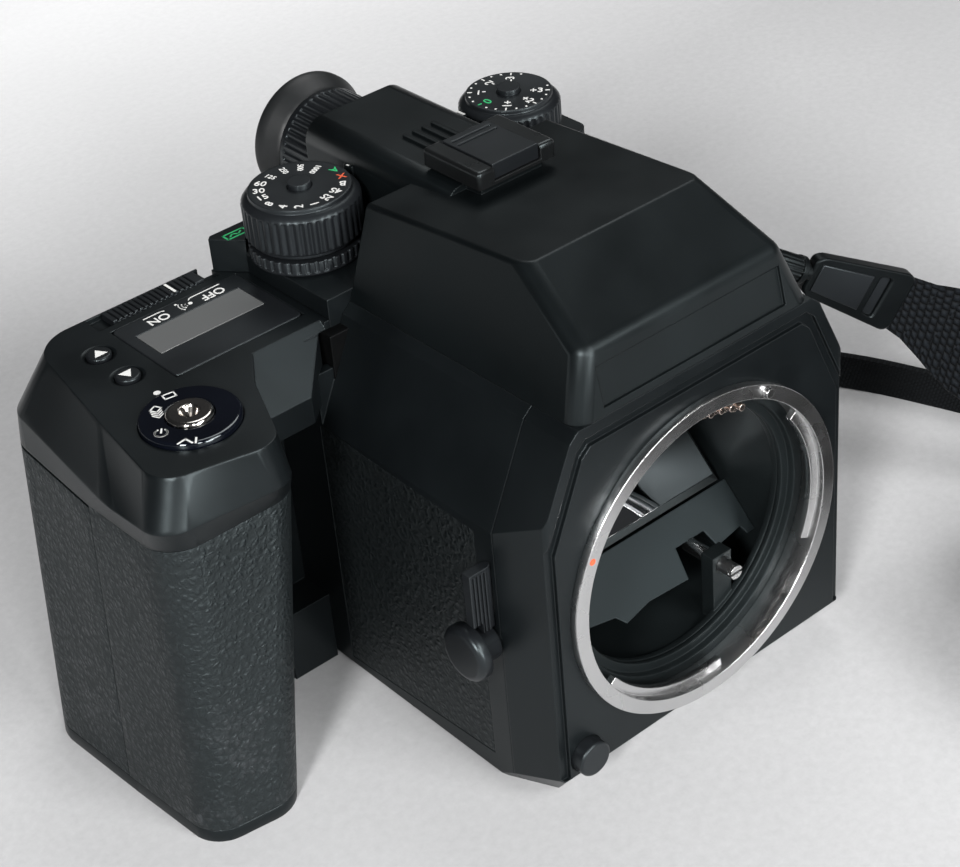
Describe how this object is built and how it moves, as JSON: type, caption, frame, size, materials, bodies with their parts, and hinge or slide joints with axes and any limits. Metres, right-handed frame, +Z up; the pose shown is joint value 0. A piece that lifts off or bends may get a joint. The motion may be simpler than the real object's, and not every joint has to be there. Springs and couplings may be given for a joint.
{
  "type": "medium format film camera",
  "caption": "Medium format film SLR camera body with prism finder, side grip, dials, rear film holder and neck strap.",
  "frame": {"origin": "mouth of the tripod socket in the base, on the lens axis in plan; the base stands at z = 0", "axes": "+X to the far side from the grip, +Y from the lens mount to the rear, +Z up"},
  "size_m": [0.2593, 0.2628, 0.1199],
  "materials": {
    "satin_black": "satin, fine grain",
    "grip_leather": "leather grain",
    "panel_leather": "leather grain",
    "cover_grey": "satin, fine grain",
    "mount_chrome": "turned",
    "pin_steel": "bright",
    "inner_black": "matt",
    "contact_gold": "bright",
    "mirror_silver": "front surface",
    "carrier_black": "matt",
    "screen_frost": "ground",
    "prism_glass": "clear",
    "lens_glass": "coated",
    "frame_alloy": "cast, painted dark",
    "dial_black": "satin",
    "button_chrome": "polished",
    "gloss_black": "gloss",
    "display_glass": "clear over grey",
    "shoe_metal": "satin black",
    "soft_rubber": "matt",
    "blade_grey": "matt",
    "cell_label": "gloss label",
    "film_paper": "backing paper",
    "clip_plastic": "satin",
    "webbing": "woven",
    "narrow_webbing": "woven"
  },
  "bodies": {
    "camera_body": {"front_housing": "satin_black", "prism_cover": "cover_grey", "left_side_cover": "satin_black", "right_side_cover": "satin_black", "leather_panel": "panel_leather", "base_plate": "satin_black", "rear_deck": "satin_black", "main_frame": "frame_alloy", "tripod_bushes": "pin_steel", "mount_ring": "mount_chrome", "mount_baffle": "inner_black", "mount_contacts": "contact_gold", "mirror_box": "inner_black", "focusing_screen": "screen_frost", "pentaprism": "prism_glass", "eyepiece_lens": "lens_glass", "grip_core": "satin_black", "grip_skin": "grip_leather", "grip_top_cover": "satin_black", "display_frame": "dial_black", "display_window": "display_glass", "hot_shoe": "shoe_metal", "shutter_frame": "carrier_black", "strap_studs": "dial_black", "strap_clips": "clip_plastic", "strap_upper": "webbing", "strap_coil": "webbing", "strap_lower": "narrow_webbing", "wind_motor": "pin_steel"},
    "shutter_dial": {"shutter_dial": "dial_black"},
    "shutter_dial_button": {"shutter_dial_button": "dial_black"},
    "comp_dial": {"comp_dial": "dial_black"},
    "comp_dial_button": {"comp_dial_button": "dial_black"},
    "metering_ring": {"metering_ring": "dial_black"},
    "drive_dial": {"drive_dial": "gloss_black"},
    "shutter_button": {"shutter_button": "button_chrome"},
    "up_button": {"up_button": "dial_black"},
    "down_button": {"down_button": "dial_black"},
    "main_switch": {"main_switch": "dial_black"},
    "hot_shoe_cover": {"hot_shoe_cover": "dial_black"},
    "diopter": {"diopter_ring": "dial_black", "eyecup": "soft_rubber"},
    "preview_lever": {"preview_lever": "dial_black"},
    "lens_release": {"lens_release": "dial_black"},
    "lens_lock_pin": {"lens_lock_pin": "pin_steel"},
    "af_shaft": {"af_shaft": "pin_steel"},
    "mirror": {"mirror_carrier": "carrier_black", "mirror_glass": "mirror_silver"},
    "shutter_blade_1": {"shutter_blade_1": "blade_grey"},
    "shutter_blade_2": {"shutter_blade_2": "blade_grey"},
    "shutter_blade_3": {"shutter_blade_3": "blade_grey"},
    "film_holder": {"film_back": "satin_black", "film_insert": "frame_alloy"},
    "latch_key": {"latch_key": "dial_black"},
    "takeup_spool": {"takeup_spool": "dial_black"},
    "supply_spool": {"supply_spool": "film_paper"},
    "battery": {"battery_holder": "grip_leather", "battery_cells": "cell_label"},
    "battery_key": {"battery_key": "dial_black"},
    "focus_switch": {"focus_switch": "dial_black"}
  },
  "joints": [
    {"name": "shutter_dial_turn", "type": "hinge", "parent": "camera_body", "child": "shutter_dial", "pos_m": [-0.0275, 0.0475, 0.1], "axis": [0, 0, 1], "continuous": true},
    {"name": "shutter_dial_lock", "type": "slide", "parent": "shutter_dial", "child": "shutter_dial_button", "axis": [0, 0, -1], "range_m": [0, 0.0007], "stiffness_N_per_m": 400},
    {"name": "comp_dial_turn", "type": "hinge", "parent": "camera_body", "child": "comp_dial", "pos_m": [0.031, 0.047, 0.105], "axis": [0, 0, 1], "range_deg": [-135, 135]},
    {"name": "comp_dial_lock", "type": "slide", "parent": "comp_dial", "child": "comp_dial_button", "axis": [0, 0, -1], "range_m": [0, 0.0007], "stiffness_N_per_m": 400},
    {"name": "metering_turn", "type": "hinge", "parent": "camera_body", "child": "metering_ring", "pos_m": [-0.0275, 0.0475, 0.0965], "axis": [0, 0, 1], "range_deg": [-35, 35]},
    {"name": "drive_dial_turn", "type": "hinge", "parent": "camera_body", "child": "drive_dial", "pos_m": [-0.0793, 0.018, 0.09], "axis": [0, 0, 1], "range_deg": [-40, 80]},
    {"name": "shutter_release", "type": "slide", "parent": "camera_body", "child": "shutter_button", "axis": [0, 0, -1], "range_m": [0, 0.001], "stiffness_N_per_m": 400},
    {"name": "up_press", "type": "slide", "parent": "camera_body", "child": "up_button", "axis": [0, 0, -1], "range_m": [0, 0.0006], "stiffness_N_per_m": 400},
    {"name": "down_press", "type": "slide", "parent": "camera_body", "child": "down_button", "axis": [0, 0, -1], "range_m": [0, 0.0006], "stiffness_N_per_m": 400},
    {"name": "main_switch_slide", "type": "slide", "parent": "camera_body", "child": "main_switch", "axis": [1, 0, 0], "range_m": [-0.0035, 0.0035]},
    {"name": "shoe_cover_slide", "type": "slide", "parent": "camera_body", "child": "hot_shoe_cover", "axis": [0, 1, 0], "range_m": [0, 0.02]},
    {"name": "diopter_turn", "type": "hinge", "parent": "camera_body", "child": "diopter", "pos_m": [0, 0.0697, 0.0994], "axis": [0, 1, 0], "range_deg": [-60, 60]},
    {"name": "preview_swing", "type": "hinge", "parent": "camera_body", "child": "preview_lever", "pos_m": [-0.0463, -0.0284, 0.05], "axis": [0, 0, 1], "range_deg": [-14, 0], "stiffness_Nm_per_rad": 0.05},
    {"name": "lens_release_press", "type": "slide", "parent": "camera_body", "child": "lens_release", "axis": [0, 1, 0], "range_m": [0, 0.0015], "stiffness_N_per_m": 400},
    {"name": "lock_pin_sink", "type": "slide", "parent": "camera_body", "child": "lens_lock_pin", "axis": [0, 1, 0], "range_m": [0, 0.0012]},
    {"name": "af_drive", "type": "hinge", "parent": "camera_body", "child": "af_shaft", "pos_m": [0.0136, -0.03, 0.0296], "axis": [0, 1, 0], "continuous": true},
    {"name": "mirror_flip", "type": "hinge", "parent": "camera_body", "child": "mirror", "pos_m": [0, 0.015, 0.071], "axis": [-1, 0, 0], "range_deg": [0, 45]},
    {"name": "blade_1_drop", "type": "slide", "parent": "camera_body", "child": "shutter_blade_1", "axis": [0, 0, -1], "range_m": [0, 0.0455]},
    {"name": "blade_2_drop", "type": "slide", "parent": "camera_body", "child": "shutter_blade_2", "axis": [0, 0, -1], "range_m": [0, 0.03034]},
    {"name": "blade_3_drop", "type": "slide", "parent": "camera_body", "child": "shutter_blade_3", "axis": [0, 0, -1], "range_m": [0, 0.01517]},
    {"name": "film_holder_slide", "type": "slide", "parent": "camera_body", "child": "film_holder", "axis": [0, 1, 0], "range_m": [0, 0.06]},
    {"name": "latch_turn", "type": "hinge", "parent": "film_holder", "child": "latch_key", "pos_m": [0.022, 0.067, 0.03], "axis": [0, 1, 0], "range_deg": [0, 90]},
    {"name": "takeup_turn", "type": "hinge", "parent": "film_holder", "child": "takeup_spool", "pos_m": [0, 0.0445, 0.0736], "axis": [1, 0, 0], "continuous": true},
    {"name": "supply_turn", "type": "hinge", "parent": "film_holder", "child": "supply_spool", "pos_m": [0, 0.0445, 0.016], "axis": [1, 0, 0], "continuous": true},
    {"name": "battery_slide", "type": "slide", "parent": "camera_body", "child": "battery", "axis": [0, 1, 0], "range_m": [0, 0.05]},
    {"name": "battery_key_turn", "type": "hinge", "parent": "battery", "child": "battery_key", "pos_m": [-0.0738, 0.0636, 0.016], "axis": [0, 1, 0], "range_deg": [0, 90]},
    {"name": "focus_switch_turn", "type": "hinge", "parent": "camera_body", "child": "focus_switch", "pos_m": [0.045, -0.011, 0.014], "axis": [1, 0, 0], "range_deg": [-40, 40]}
  ],
  "couplings": [
    {"joint": "lock_pin_sink", "follows": "lens_release_press", "ratio": 0.8},
    {"joint": "blade_2_drop", "follows": "blade_1_drop", "ratio": 0.6666},
    {"joint": "blade_3_drop", "follows": "blade_1_drop", "ratio": 0.3333},
    {"joint": "supply_turn", "follows": "takeup_turn", "ratio": -0.6}
  ]
}
